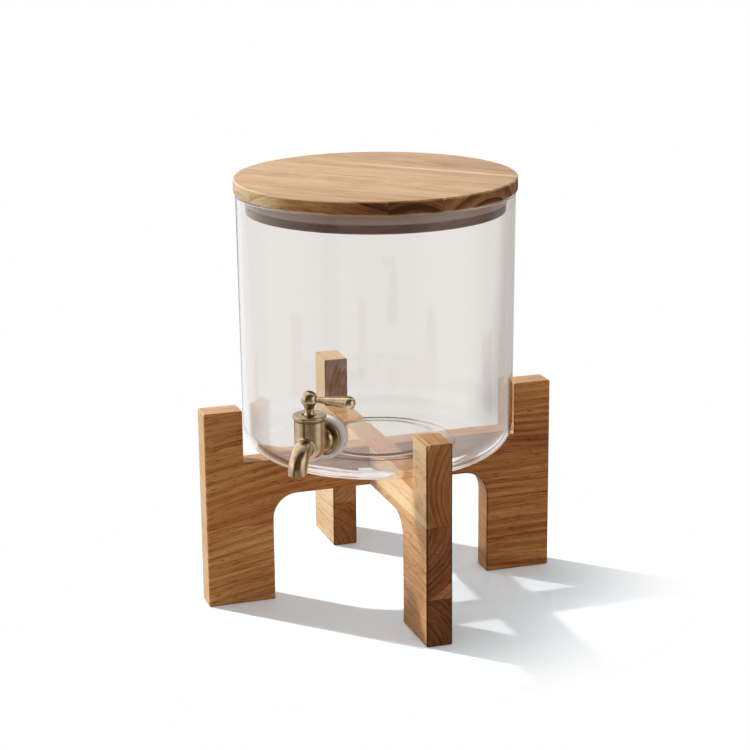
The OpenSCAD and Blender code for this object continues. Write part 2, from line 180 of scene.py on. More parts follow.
def turnPiece(name, outline, steps):
    # one point is drawn along the half outline (radius and height in mm), then spun round the upright axis
    deselectAll()
    bpy.ops.mesh.primitive_plane_add(size=mm)
    piece = bpy.context.object
    piece.name = name
    bpy.ops.object.mode_set(mode="EDIT")
    bpy.ops.mesh.select_mode(type="VERT")
    bpy.ops.mesh.select_all(action="SELECT")
    bpy.ops.mesh.merge(type="CENTER")
    points = [Vector((radius, 0, height)) * mm for radius, height in outline]
    bpy.ops.transform.translate(value=points[0])
    for here, there in zip(points, points[1:]):
        bpy.ops.mesh.extrude_vertices_move(TRANSFORM_OT_translate={"value": there - here})
    bpy.ops.mesh.select_all(action="SELECT")
    bpy.ops.mesh.spin(steps=steps, angle=2 * math.pi, center=(0, 0, 0), axis=(0, 0, 1))
    closeMesh()
    return piece


def addBlock(name, low, high):
    deselectAll()
    low, high = Vector(low), Vector(high)
    bpy.ops.mesh.primitive_cube_add(size=1, location=(low + high) / 2, scale=high - low)
    block = bpy.context.object
    block.name = name
    bpy.ops.object.transform_apply(location=True, rotation=True, scale=True)
    return block


def addRod(name, radius, length, steps=96):
    # a plain rod up from the origin, in mm, used only to cut, to fuse or as a start
    deselectAll()
    bpy.ops.mesh.primitive_cylinder_add(vertices=steps, radius=radius * mm, depth=length * mm,
                                        location=(0, 0, length * mm / 2))
    rod = bpy.context.object
    rod.name = name
    bpy.ops.object.transform_apply(location=True, rotation=True, scale=True)
    return rod


def finishPiece(piece, material, body, node):
    # one material, one body, and the CAD node that the piece stands for
    piece.data.materials.clear()
    piece.data.materials.append(material)
    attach(piece, body)
    if node:
        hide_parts(node)


def finishTapPiece(piece, material, body, node, angle=25):
    settleAtTap(piece)
    smooth(piece, angle)
    finishPiece(piece, material, body, node)


# Material helpers
multiply = {"operation": "MULTIPLY"}
plus = {"operation": "ADD"}


def hexColour(code):
    channels = [int(code[i:i + 2], 16) / 255 for i in (1, 3, 5)]
    linear = [c / 12.92 if c <= 0.04045 else ((c + 0.055) / 1.055) ** 2.4 for c in channels]
    return (*linear, 1.0)


def adjust(node, settings):
    # sets a node's own properties, the values on its sockets, both ends of a Map Range, or a ramp's stops
    for key, value in settings.items():
        if key == "stops":
            elements = node.color_ramp.elements  # a new ramp has two stops of its own
            while len(elements) < len(value):
                elements.new(0.5)
            for element, (place, code) in zip(elements, value):
                element.position = place
                element.color = hexColour(code)
        elif key in ("From", "To"):
            node.inputs[key + " Min"].default_value, node.inputs[key + " Max"].default_value = value
        elif isinstance(key, str) and hasattr(node, key):
            setattr(node, key, value)
        else:
            node.inputs[key].default_value = value


def join(tree, node, links):
    # links are sockets, or nodes that give their first output, each under the input that it feeds
    for key, source in links.items():
        tree.links.new(source.outputs[0] if hasattr(source, "outputs") else source, node.inputs[key])


def addNode(tree, kind, settings=None, links=None):
    node = tree.nodes.new("ShaderNode" + kind)
    adjust(node, settings or {})
    join(tree, node, links or {})
    return node


def newMaterial(name):
    material = bpy.data.materials.new(name)
    material.use_nodes = True
    tree = material.node_tree
    return material, tree, tree.nodes["Principled BSDF"], addNode(tree, "TexCoord")


# Oiled acacia: planed and sanded solid staves, so rings, streaks and pores run through the block

def addShares(tree, darkness, *shares):
    # each field darkens the wood by its share, or makes it paler where the share is below 0
    for field, share in shares:
        darkness = addNode(tree, "Math", {"operation": "MULTIPLY_ADD", 1: share}, {0: field, 2: darkness})
    return darkness


def sweepFibres(tree, look, grain, parts):
    # the fibres sweep in one long curve that flattens out towards the top
    along = parts.outputs["X"]
    slope = addNode(tree, "Math", {"operation": "MULTIPLY_ADD", 1: look["sweepCurve"],
                                   2: -look["sweepSlope"]}, {0: along})
    flatten = addNode(tree, "MapRange", {"From": look["flattenFrom"], "To": look["flattenTo"]},
                      {"Value": parts.outputs["Z"]})
    lean = addNode(tree, "Math", multiply, {0: slope, 1: flatten})
    drop = addNode(tree, "Math", multiply, {0: lean, 1: along})
    sweep = addNode(tree, "CombineXYZ", None, {"Z": drop})
    return addNode(tree, "VectorMath", plus, {0: grain, 1: sweep})


def placeStaves(tree, look, swept, along, across):
    # each stave past a glue line has its own place from the log's pith, and its own tone
    pith, tone = look["staves"][0][1:]
    middle = look["bendDepth"] / 2
    start = (pith[0], pith[1] + middle, pith[2] + middle)
    placed = addNode(tree, "VectorMath", {"operation": "SUBTRACT", 1: start}, {0: swept})
    # the wood's tone changes slowly along the board
    endTones = [share + tone for share in look["alongTones"]]
    darkness = addNode(tree, "MapRange", {"From": look["alongFrom"], "To": endTones}, {"Value": along})
    for joint, nextPith, nextTone in look["staves"][1:]:
        past = addNode(tree, "Math", {"operation": "GREATER_THAN", 1: joint}, {0: across})
        line = addNode(tree, "Math", {"operation": "COMPARE", 1: joint, 2: look["glueWidth"] / 2},
                       {0: across})
        shift = [a - b for a, b in zip(pith, nextPith)]
        placed = addNode(tree, "VectorMath", {"operation": "MULTIPLY_ADD", 1: shift}, {0: past, 2: placed})
        darkness = addShares(tree, darkness, (past, nextTone - tone), (line, look["glueShare"]))
        pith, tone = nextPith, nextTone
    return placed, darkness


def growRings(tree, look, radius):
    # pale early wood, darkening to a sharper late line, uneven from year to year
    uneven = addNode(tree, "TexNoise", {"noise_dimensions": "1D", "Scale": 0.35 / look["ringWidth"],
                                        "Detail": 2.0}, {"W": radius})
    year = addNode(tree, "Math", {"operation": "MULTIPLY_ADD", 1: 1 / look["ringWidth"]},
                   {0: radius, 2: uneven})
    within = addNode(tree, "Math", {"operation": "FRACT"}, {0: year})
    late = addNode(tree, "MapRange", {"interpolation_type": "SMOOTHSTEP", "From": (0.1, 0.85)},
                   {"Value": within})
    fresh = addNode(tree, "MapRange", {"interpolation_type": "SMOOTHSTEP", "From": (0.85, 1.0),
                                       "To": (1.0, 0.0)}, {"Value": within})
    ring = addNode(tree, "Math", multiply, {0: late, 1: fresh})
    strength = addNode(tree, "MapRange", {"From": (0.35, 0.65), "To": (0.15, 1.0)}, {"Value": uneven})
    return addNode(tree, "Math", multiply, {0: ring, 1: strength})


def toneFaces(tree, look, darkness, normal, along, across, ringTone):
    facing = addNode(tree, "Mapping", {"vector_type": "NORMAL", "Rotation": look["grainTurn"]},
                     {"Vector": normal})
    facingParts = addNode(tree, "SeparateXYZ", None, {0: facing})
    # the eased edges along a board's broad faces are darker, and the lid's eased edges are made pale, a
    # painted highlight along them
    level = addNode(tree, "Math", {"operation": "ABSOLUTE"}, {0: facingParts.outputs[look["edgeAxis"]]})
    squared = addNode(tree, "Math", multiply, {0: level, 1: level})
    edgeOn = addNode(tree, "Math", {"operation": "SUBTRACT"}, {0: level, 1: squared})
    # upward faces take a share of their own, a painted shade that darkens the tops of the front-back board
    topShade = addNode(tree, "MapRange", {"From": (0.5, 0.9), "To": (0.0, look["topShadeShare"])},
                      {"Value": facingParts.outputs["Z"]})
    # end grain drinks more oil, so it is darker and its rings are plainer; where the share is below 0, as on
    # the left-right board, the end faces are made paler instead, a painted light on the sunlit end
    endOn = facingParts.outputs["X"]
    backOn = addNode(tree, "Math", {**multiply, 1: -look["backward"]}, {0: endOn})
    endFace = addNode(tree, "Math", {"operation": "MAXIMUM"}, {0: endOn, 1: backOn})
    endTone = addNode(tree, "MapRange", {"From": (0.1, 0.45)}, {"Value": endFace})
    # the far end is darker by another share, one below and one above a glue line
    joint, *farTones = look["farShares"]
    farShare = addNode(tree, "MapRange", {"From": (joint, joint + 1), "To": farTones}, {"Value": across})
    endGrainAndLightShare = addNode(tree, "MapRange", {"From": look["farFrom"], "To Min": look["endGrainAndLightShare"]},
                       {"Value": along, "To Max": farShare})
    endGrainAndLight = addNode(tree, "Math", multiply, {0: endTone, 1: endGrainAndLightShare})
    # the lid's end that faces the sun is made paler, a painted light
    sunEndLight = addNode(tree, "MapRange", {"From": (-0.15, -0.42), "To": (0.0, look["sunEndLightShare"])},
                       {"Value": endOn})
    eitherEnd = addNode(tree, "Math", {"operation": "ABSOLUTE"}, {0: endOn})
    endRing = addNode(tree, "Math", multiply, {0: ringTone, 1: eitherEnd})
    return addShares(tree, darkness, (edgeOn, 4 * look["edgeShare"]), (topShade, 1.0), (endGrainAndLight, 1.0),
                     (sunEndLight, 1.0), (endRing, look["endRingShare"]))


def addSapwood(tree, look, darkness, along, across, patch, radius):
    if look["sapLine"] is not None:
        # a pale stripe beside a glue line, that dies out at one end
        wander = addNode(tree, "Math", {"operation": "MULTIPLY_ADD", 1: look["sapWander"],
                                        2: -look["sapWander"] / 2 - look["sapLine"]}, {0: patch})
        offset = addNode(tree, "Math", plus, {0: across, 1: wander})
        away = addNode(tree, "Math", {"operation": "ABSOLUTE"}, {0: offset})
        stripe = addNode(tree, "MapRange", {"From": look["sapWidth"], "To": (look["sapShare"], 0.0)},
                         {"Value": away})
        alive = addNode(tree, "MapRange", {"From": look["sapFrom"]}, {"Value": along})
        paler = addNode(tree, "Math", multiply, {0: stripe, 1: alive})
        darkness = addShares(tree, darkness, (paler, -1.0))
    if look["sapRadius"] is not None:
        # all that is past the last ring of heartwood, dying out along the board
        left = addNode(tree, "MapRange", {"From": look["sapFrom"], "To": (look["sapShare"], 0.0)},
                       {"Value": along})
        outer = addNode(tree, "MapRange", {"From": (look["sapRadius"] - 0.5, look["sapRadius"] + 0.5)},
                        {"Value": radius, "To Max": left})
        darkness = addShares(tree, darkness, (outer, -1.0))
    return darkness


def oiledAcacia(name, look):
    material, tree, shader, coords = newMaterial(name)
    normal = coords.outputs["Normal"]
    grain = addNode(tree, "Mapping", {"Rotation": look["grainTurn"], "Scale": (1 / mm, 1 / mm, 1 / mm)},
                    {"Vector": coords.outputs["Object"]})  # mm, with the fibres along X
    parts = addNode(tree, "SeparateXYZ", None, {0: grain})
    along = parts.outputs["X"]
    across = parts.outputs[look["staveAxis"]]
    swept = sweepFibres(tree, look, grain, parts)
    placed, darkness = placeStaves(tree, look, swept, along, across)

    # slow bends, then the distance from the pith, which rings, streaks and fibres all follow
    slow = addNode(tree, "VectorMath", {**multiply, 1: (0.22, 1, 1)}, {0: placed})
    bend = addNode(tree, "TexNoise", {"Scale": 1 / look["bendSize"], "Detail": 2.0}, {"Vector": slow})
    depth = (0, look["bendDepth"], look["bendDepth"])
    bent = addNode(tree, "VectorMath", {"operation": "MULTIPLY_ADD", 1: depth},
                   {0: bend.outputs["Color"], 2: placed})
    flat = addNode(tree, "VectorMath", {**multiply, 1: (0, 1, 1)}, {0: bent})
    radius = addNode(tree, "VectorMath", {"operation": "LENGTH"}, {0: flat}).outputs["Value"]
    bentParts = addNode(tree, "SeparateXYZ", None, {0: bent})
    layers = addNode(tree, "CombineXYZ", None,
                     {"X": bentParts.outputs["X"], "Y": radius, "Z": bentParts.outputs["Y"]})
    ringTone = growRings(tree, look, radius)

    # separate dark and pale streaks, fibres about 1 mm wide, pores as short dashes, patches of heartwood
    long = addNode(tree, "VectorMath", {**multiply, 1: (look["stretch"], 1, 0.12)}, {0: layers})
    streaks = addNode(tree, "TexNoise", {"Scale": 1 / look["streakWidth"], "Detail": 3.0}, {"Vector": long})
    streak = addNode(tree, "MapRange", {"From": (0.54, 0.70)}, {"Value": streaks})
    vein = addNode(tree, "MapRange", {"From": (0.44, 0.32)}, {"Value": streaks})
    fibres = addNode(tree, "TexNoise", {"Scale": 1 / look["fibreWidth"], "Detail": 5.0, "Roughness": 0.65},
                     {"Vector": long})
    fibre = addNode(tree, "MapRange", {"From": (0.3, 0.7)}, {"Value": fibres})
    dash = addNode(tree, "VectorMath", {**multiply, 1: (0.12, 1, 1)}, {0: bent})
    pores = addNode(tree, "TexNoise", {"Scale": 1 / look["poreWidth"], "Detail": 1.0}, {"Vector": dash})
    pore = addNode(tree, "MapRange", {"From": (0.6, 0.72)}, {"Value": pores})
    patch = addNode(tree, "TexNoise", {"Scale": 1 / look["patchSize"], "Detail": 3.0, "Roughness": 0.55},
                    {"Vector": slow})

    # every share adds to one darkness, which a single ramp turns into wood colours
    darkness = addShares(tree, darkness, (ringTone, look["ringShare"]), (streak, look["streakShare"]),
                         (vein, look["veinShare"]), (fibre, look["fibreShare"]),
                         (patch, look["patchShare"]), (pore, look["poreShare"]))
    darkness = toneFaces(tree, look, darkness, normal, along, across, ringTone)
    darkness = addSapwood(tree, look, darkness, along, across, patch, radius)
    colour = addNode(tree, "ValToRGB", {"stops": look["tones"]}, {"Fac": darkness})
    # faces towards the sun are painted a little paler, to straw, a painted sunlight
    towardSun = addNode(tree, "VectorMath", {"operation": "DOT_PRODUCT", 1: look["sunSide"]}, {0: normal})
    paleShare = addNode(tree, "MapRange", {"From": (0.1, 0.5), "To": (0.0, look["paleShare"])},
                   {"Value": towardSun.outputs["Value"]})
    sunlitColour = addNode(tree, "Mix", {"data_type": "RGBA", 7: hexColour(look["sunlitTone"])},
                    {0: paleShare, 6: colour})
    rough = addNode(tree, "MapRange", {"To": (0.40, 0.54)}, {"Value": fibre})
    height = addNode(tree, "Math", {"operation": "MULTIPLY_ADD", 1: -1.5}, {0: pore, 2: fibre})
    bump = addNode(tree, "Bump", {"Strength": 0.25, "Distance": 0.1 * mm}, {"Height": height})
    adjust(shader, {"Specular IOR Level": look["gloss"]})
    join(tree, shader, {"Base Color": sunlitColour.outputs[2], "Roughness": rough, "Normal": bump})
    return material


# tones run from pale to dark; staves are (glue line under it, pith, tone), in mm along the turned axes
heartTones = [(0.0, "#efcf9f"), (0.25, "#dda568"), (0.5, "#bd7a45"), (0.75, "#98582f"), (1.0, "#5c331c")]
paleTones = [(0.0, "#ecd2a6"), (0.28, "#d5a976"), (0.5, "#b9824e"), (0.75, "#8f5732"), (1.0, "#532e19")]
lidTones = [(0.0, "#e9d8b6"), (0.28, "#d0b086"), (0.5, "#b38856"), (0.75, "#8a5831"), (1.0, "#4f2e19")]
plugTones = [(0.0, "#d9a066"), (0.3, "#b8763c"), (0.55, "#a35318"), (0.8, "#7d3a0a"), (1.0, "#4a1d02")]
boardLook = dict(
    grainTurn=(0, 0, 0), staveAxis="Z", tones=heartTones, glueWidth=0.6, glueShare=0.1,
    staves=[(0, (40, 22, -46), 0.0), (59, (300, -42, 176), 0.03), (121, (520, 30, 62), 0.0)],
    alongFrom=(-130, 130), alongTones=(-0.10, 0.01), sweepSlope=0.10, sweepCurve=0.00042,
    flattenFrom=(85, 150), flattenTo=(1.0, 0.15), bendSize=60, bendDepth=18, stretch=0.03,
    ringWidth=6.0, streakWidth=2.4, fibreWidth=0.8, poreWidth=0.8, patchSize=30,
    ringShare=0.24, streakShare=0.22, veinShare=-0.11, fibreShare=0.26, patchShare=0.54, poreShare=0.3,
    # a share below 0 makes the end faces paler, a painted light on the sunlit end
    edgeAxis="Y", edgeShare=0.34, topShadeShare=0.0, endGrainAndLightShare=-0.28, endRingShare=0.0, sunEndLightShare=0.0,
    backward=1.0, farFrom=(-60, 60), farShares=(0, 0.06, 0.06), gloss=0.1,
    # the faces towards the sun take a paler straw tone, a painted sunlight
    sunSide=(-0.53, 0.55, 0.64), paleShare=0.5, sunlitTone="#c9a780", sapLine=None, sapRadius=None)
frontBackLook = dict(
    boardLook, grainTurn=(0, 0, -quarter), tones=paleTones,
    staves=[(0, (700, 30, -6), 0.19), (34.6, (950, 36, 94), 0.10), (87, (1200, -50, 116), -0.04)],
    alongFrom=(-20, 100), alongTones=(-0.14, -0.43), sweepSlope=0.0, sweepCurve=0.0002, bendDepth=12,
    ringWidth=4.0, ringShare=0.1, streakShare=0.1, veinShare=-0.04, patchShare=0.34,
    # the tops of this board are darkened, a painted shade
    topShadeShare=0.28, endGrainAndLightShare=0.46, endRingShare=0.04, farShares=(86, 0.43, 0.76), paleShare=0.0,
    sapRadius=64, sapFrom=(-60, 60), sapShare=0.24)
lidLook = dict(
    boardLook, grainTurn=(0, 0, math.radians(45.4)), staveAxis="Y", tones=lidTones, glueShare=0.04,
    staves=[(-100, (1500, -70, 332), 0.05), (-86, (1800, -76, 284), 0.08), (-60, (2100, -20, 262), 0.0),
            (23, (2250, 6, 262), 0.12), (38.5, (2400, 64, 266), 0.1)],
    alongFrom=(-100, 100), alongTones=(0.05, 0.18), bendDepth=16, stretch=0.025, ringWidth=9.0,
    streakWidth=5.0, ringShare=0.1, streakShare=0.16, veinShare=-0.08, patchShare=0.34, poreShare=0.2,
    # the lid's end towards the sun is made paler, a painted light, and so are its eased edges, a painted
    # highlight
    edgeAxis="Z", edgeShare=-0.3, endGrainAndLightShare=0.34, endRingShare=0.3, sunEndLightShare=-0.32, backward=0.0,
    # the lid's faces towards the sun take the straw tone of painted sunlight
    farFrom=(40, 100), farShares=(0, 0.12, 0.12), paleShare=0.3,
    sapLine=36.9, sapWidth=(0.4, 5), sapWander=5.0, sapFrom=(-75, -15), sapShare=0.4)
plugLook = dict(
    lidLook, grainTurn=(0, 0, math.radians(-30)), tones=plugTones, alongTones=(0.58, 0.58), sunEndLightShare=0.0,
    staves=[(-100, (2700, -60, 330), 0.0), (-20, (3000, 10, 262), 0.1)], sapLine=None)
leftRightAcacia = oiledAcacia("oiledAcaciaLeftRight", boardLook)
frontBackAcacia = oiledAcacia("oiledAcaciaFrontBack", frontBackLook)
lidAcacia = oiledAcacia("oiledAcaciaLid", lidLook)
plugAcacia = oiledAcacia("oiledAcaciaPlug", plugLook)
print("acacia materials made")


# Satin antique brass: turned on a lathe and brushed, so fine rings run round the axis that it was turned on
def satinBrass(name, axisPlace, axisTurn, colours=("#a38e74", "#c9b396")):
    material, tree, shader, coords = newMaterial(name)
    onAxis = addNode(tree, "Mapping", {"vector_type": "TEXTURE", "Location": axisPlace, "Rotation": axisTurn,
                                       "Scale": (mm, mm, mm)}, {"Vector": coords.outputs["Object"]})
    parts = addNode(tree, "SeparateXYZ", None, {0: onAxis})
    flat = addNode(tree, "VectorMath", {**multiply, 1: (1, 1, 0)}, {0: onAxis})
    radius = addNode(tree, "VectorMath", {"operation": "LENGTH"}, {0: flat}).outputs["Value"]
    along = addNode(tree, "Math", plus, {0: radius, 1: parts.outputs["Z"]})
    # tool marks about 0.25 mm apart, coarser than real ones so that they show
    rings = addNode(tree, "TexNoise", {"noise_dimensions": "1D", "Scale": 4.0, "Detail": 3.0}, {"W": along})
    cloud = addNode(tree, "TexNoise", {"Scale": 0.16, "Detail": 4.0, "Roughness": 0.6}, {"Vector": onAxis})
    colour = addNode(tree, "ValToRGB", {"stops": [(0.3, colours[0]), (0.7, colours[1])]}, {"Fac": cloud})
    rough = addNode(tree, "MapRange", {"From": (0.3, 0.7), "To": (0.17, 0.23)}, {"Value": rings})
    bump = addNode(tree, "Bump", {"Strength": 0.06, "Distance": 0.03 * mm}, {"Height": rings})
    adjust(shader, {"Metallic": 1.0})
    join(tree, shader, {"Base Color": colour, "Roughness": rough, "Normal": bump})
    return material


barrelBrass = satinBrass("satinBrassBarrel", (barrelAt.x, barrelAt.y, 0), (0, 0, 0))
shankBrass = satinBrass("satinBrassShank", (0, 0, tapHeight), (quarter, 0, tapTurn))
leverBrass = satinBrass("satinBrassLever", (barrelAt.x, barrelAt.y, (leverLow.z + leverHigh.z) / 2),
                        (0, quarter, tapTurn), ("#b69e7f", "#dbc5a3"))  # lighter colours, a painted highlight along the lever


# Soda-lime glass: pressed and fire polished, clear with the faintest ripple
def pressedGlass():
    material, tree, shader, coords = newMaterial("pressedSodaGlass")
    place = coords.outputs["Object"]
    drawn = addNode(tree, "Mapping", {"Scale": (1, 1, 0.25)}, {"Vector": place})
    ripple = addNode(tree, "TexNoise", {"Scale": 1 / (24 * mm), "Detail": 1.0}, {"Vector": drawn})
    breath = addNode(tree, "TexNoise", {"Scale": 1 / (60 * mm), "Detail": 3.0}, {"Vector": place})
    rough = addNode(tree, "MapRange", {"From": (0.45, 0.8), "To": (0.0, 0.02)}, {"Value": breath})
    bump = addNode(tree, "Bump", {"Strength": 0.05, "Distance": 0.4 * mm}, {"Height": ripple})
    adjust(shader, {"Base Color": hexColour("#f5f3f1"), "Transmission Weight": 1.0, "IOR": 1.5})
    join(tree, shader, {"Roughness": rough, "Normal": bump})
    # lamps shine through, and light caught inside the thick base gets out in the end
    clear = addNode(tree, "BsdfTransparent", {"Color": hexColour("#eeecea")})
    path = addNode(tree, "LightPath")
    caught = addNode(tree, "Math", {"operation": "GREATER_THAN", 1: 3.5}, {0: path.outputs["Glossy Depth"]})
    straight = addNode(tree, "Math", {"operation": "MAXIMUM"},
                       {0: path.outputs["Is Shadow Ray"], 1: caught})
    through = addNode(tree, "MixShader", None, {0: straight, 1: shader, 2: clear})
    # a long way through the glass, as along the base corner, is a little grey
    grey = addNode(tree, "VolumeAbsorption", {"Color": hexColour("#bcb8b4"), "Density": 11.0})
    join(tree, tree.nodes["Material Output"], {"Surface": through, "Volume": grey})
    return material


# Silicone rubber: moulded, milky and half clear, with a soft bloom on its skin
def milkySilicone(name, colours, clear, deep, rise=None):
    # rise is the height of a ring that thins towards its foot; over it the tint turns darker and browner
    # towards the top, a painted shade under the lid
    material, tree, shader, coords = newMaterial(name)
    place = coords.outputs["Object"]
    bloom = addNode(tree, "TexNoise", {"Scale": 1 / (3 * mm), "Detail": 4.0}, {"Vector": place})
    share = bloom
    if rise:
        # over the ring's height the tint darkens towards its top, a painted shade
        height = addNode(tree, "SeparateXYZ", None, {0: place}).outputs["Z"]
        thick = addNode(tree, "MapRange", {"From": rise, "To": (0.0, 0.8)}, {"Value": height})
        share = addNode(tree, "Math", {"operation": "MULTIPLY_ADD", 1: 0.2}, {0: bloom, 2: thick})
    tint = addNode(tree, "ValToRGB", {"stops": [(0.25, colours[0]), (0.75, colours[1])]}, {"Fac": share})
    rough = addNode(tree, "MapRange", {"From": (0.3, 0.7), "To": (0.32, 0.46)}, {"Value": bloom})
    bump = addNode(tree, "Bump", {"Strength": 0.1, "Distance": 0.1 * mm}, {"Height": bloom})
    adjust(shader, {"IOR": 1.41, "Transmission Weight": clear, "Subsurface Weight": deep,
                    "Subsurface Radius": (1.0, 0.9, 0.8), "Subsurface Scale": 4 * mm})
    join(tree, shader, {"Base Color": tint, "Roughness": rough, "Normal": bump})
    return material


# a matt skin of one fine grain, in mm
def mattSkin(name, grain, detail, colours, roughness, relief):
    material, tree, shader, coords = newMaterial(name)
    skin = addNode(tree, "TexNoise", {"Scale": 1 / (grain * mm), "Detail": detail},
                   {"Vector": coords.outputs["Object"]})
    tint = addNode(tree, "ValToRGB", {"stops": [(0.3, colours[0]), (0.7, colours[1])]}, {"Fac": skin})
    rough = addNode(tree, "MapRange", {"To": roughness}, {"Value": skin})
    bump = addNode(tree, "Bump", {"Strength": relief, "Distance": 0.05 * mm}, {"Height": skin})
    join(tree, shader, {"Base Color": tint, "Roughness": rough, "Normal": bump})
    return material


jarGlass = pressedGlass()
gasketSilicone = milkySilicone("milkySiliconeGasket", ("#fbf8f4", "#fffdfa"), 0.05, 0.15)
# Nitrile rubber: moulded rings, black and matt with a fine skin
blackRubber = mattSkin("nitrileRubber", 0.8, 3.0, ("#161616", "#2c2b29"), (0.5, 0.7), 0.15)
# Vulcanised fibre: a thin pressed washer, brown and matt
washerFibre = mattSkin("vulcanisedFibre", 0.6, 4.0, ("#6e533a", "#8c6d4f"), (0.6, 0.8), 0.2)
print("metal, glass and rubber materials made")


# Stand: two boards, each sawn from a glued-up panel, crossing in a half-lap
board = dict(legWidth=50, prongWidth=28.5, archHeight=80, archRadius=18, archSteps=20, lapGap=0.1,
             lapAbove=100, edge=1.2, edgeSteps=3, edgeAngle=40)
lapHeight = (board["archHeight"] * mm + seatHeight) / 2


def makeBoard(name, notchLow, notchHigh):
    halfSpan = railHigh.x
    halfThick = railHigh.y
    wide = 3 * halfThick
    piece = addBlock(name, (-halfSpan, -halfThick, 0), (halfSpan, halfThick, railHigh.z))
    archHalf = halfSpan - board["legWidth"] * mm
    arch = addBlock("archCutter", (-archHalf, -wide, -wide), (archHalf, wide, board["archHeight"] * mm))
    selectEdges(arch, lambda a, b: min(a.z, b.z) > 0 and abs(a.x - b.x) < mm)
    bpy.ops.mesh.bevel(offset=board["archRadius"] * mm, segments=board["archSteps"], affect="EDGES")
    bpy.ops.object.mode_set(mode="OBJECT")
    seatHalf = halfSpan - board["prongWidth"] * mm
    seat = addBlock("seatCutter", (-seatHalf, -wide, seatHeight), (seatHalf, wide, railHigh.z + wide))
    notchHalf = halfThick + board["lapGap"] * mm
    lap = addBlock("lapCutter", (-notchHalf, -wide, notchLow), (notchHalf, wide, notchHigh))
    for cutter in (arch, seat, lap):
        combine(piece, cutter)
    applyModifier(piece, "BEVEL", width=board["edge"] * mm, segments=board["edgeSteps"],
                  limit_method="ANGLE", angle_limit=math.radians(board["edgeAngle"]))
    return piece


leftRightBoard = makeBoard("boardLeftRight", lapHeight, seatHeight + board["lapAbove"] * mm)
smoothFlat(leftRightBoard)
finishPiece(leftRightBoard, leftRightAcacia, "stand", "rail_left_right")
frontBackBoard = makeBoard("boardFrontBack", 0, lapHeight + board["lapGap"] * mm)
settle(frontBackBoard, turn=(0, 0, quarter))
smoothFlat(frontBackBoard)
finishPiece(frontBackBoard, frontBackAcacia, "stand", "rail_front_back")
print("stand boards made")


# Jar: pressed glass with a rounded base corner, a pushed-up base and a fire-polished rim
jar = dict(wall=3.5, draft=1.4, cornerRadius=20, cornerSteps=30, lipSteps=14, baseThick=4.2,
           puntRadius=57, puntRise=2, puntEdge=16, puntSteps=16, beads=(56, 43), beadHalf=1.3,
           beadHeight=0.8, beadSteps=6, besideBend=0.6, ringRise=32, rimDrops=(3, 0.5),
           holeRadius=7.3, holeStart=70, holeLength=60, steps=256)


def jarOutline():
    rim = jarHigh.x / mm
    height = (jarHigh.z - jarLow.z) / mm
    corner = jar["cornerRadius"]
    base = rim - jar["draft"]
    floorRadius = base - corner
    lip = jar["wall"] / 2
    innerCorner = corner - jar["wall"]
    cornerTop = jar["baseThick"] + innerCorner
    puntFlat = jar["puntRadius"] - jar["puntEdge"]
    beside = jar["besideBend"]  # rings beside each bend keep the bend out of the flat glass
    swell = [0, puntFlat / 2, puntFlat - beside]
    swell += [puntFlat + jar["puntEdge"] * i / jar["puntSteps"] for i in range(jar["puntSteps"] + 1)]
    swell += [jar["puntRadius"] + beside, floorRadius - beside]
    count = jar["beadSteps"]
    beaded = swell + [bead + jar["beadHalf"] * i / count
                      for bead in jar["beads"] for i in range(-count, count + 1)]
    levels = [corner + beside, corner + jar["ringRise"], height / 2]
    levels += [height - lip - drop for drop in jar["rimDrops"]]

    def rise(radius):
        slope = max(0, min(1, (jar["puntRadius"] - radius) / jar["puntEdge"]))
        return jar["puntRise"] * (1 - math.cos(math.pi * slope)) / 2

    def beadAt(radius):
        # two low rings that the mould left on the floor
        near = min(abs(radius - bead) for bead in jar["beads"]) / jar["beadHalf"]
        return jar["beadHeight"] * (1 + math.cos(math.pi * min(1, near))) / 2

    def wallAt(level):
        return base + jar["draft"] * (level - corner) / (height - corner)

    outside = [(radius, rise(radius)) for radius in swell]
    outside += arcPoints((floorRadius, corner), corner, -90, 0, jar["cornerSteps"])
    outside += [(wallAt(level), level) for level in levels]
    outside += arcPoints((rim - lip, height - lip), lip, 0, 180, jar["lipSteps"])
    innerLevels = [level for level in reversed(levels) if level > cornerTop + beside] + [cornerTop + beside]
    inside = [(wallAt(level) - jar["wall"], level) for level in innerLevels]
    inside += arcPoints((floorRadius, cornerTop), innerCorner, 0, -90, jar["cornerSteps"])
    inside += [(radius, jar["baseThick"] + rise(radius) + beadAt(radius))
               for radius in sorted(set(beaded), reverse=True)]
    return outside + inside


glassJar = turnPiece("glassJar", jarOutline(), jar["steps"])
settle(glassJar, place=(0, 0, seatHeight))
tapHole = addRod("tapHole", jar["holeRadius"], jar["holeLength"])
settleOnShank(tapHole, jar["holeStart"])
settleAtTap(tapHole)
combine(glassJar, tapHole)
smooth(glassJar)
finishPiece(glassJar, jarGlass, "jar", "glass_jar")
print("glass jar made")


# Lid: a turned disc glued on a smaller plug disc, with a silicone ring between them
lid = dict(edge=1.4, edgeSteps=6, plugRadius=93.1, plugDepth=14, shelfEdge=0.3, groove=2, steps=192,
           sealHeight=8, sealRadius=96.1, sealGap=0.05, sealFoot=0.4, sealBack=0.9, sealStep=0.9,
           footEdge=((0, 1.0), (0.4, 1.3), (0.6, 1.9)),  # out and up from the seal's foot
           lipEdge=((0.9, 3.04), (0.2, 1.92), (0, 1.44), (0, 0.8), (0.3, 0.32), (0.8, 0.05)))  # in and down
# the seal's darker, browner tint at its top is a painted shade under the lid
sealSilicone = milkySilicone("milkySiliconeSeal", ("#b89b8d", "#aa8364"), 0.1, 0.2,
                             rise=(lidLow.z - lid["sealHeight"] * mm, lidLow.z))


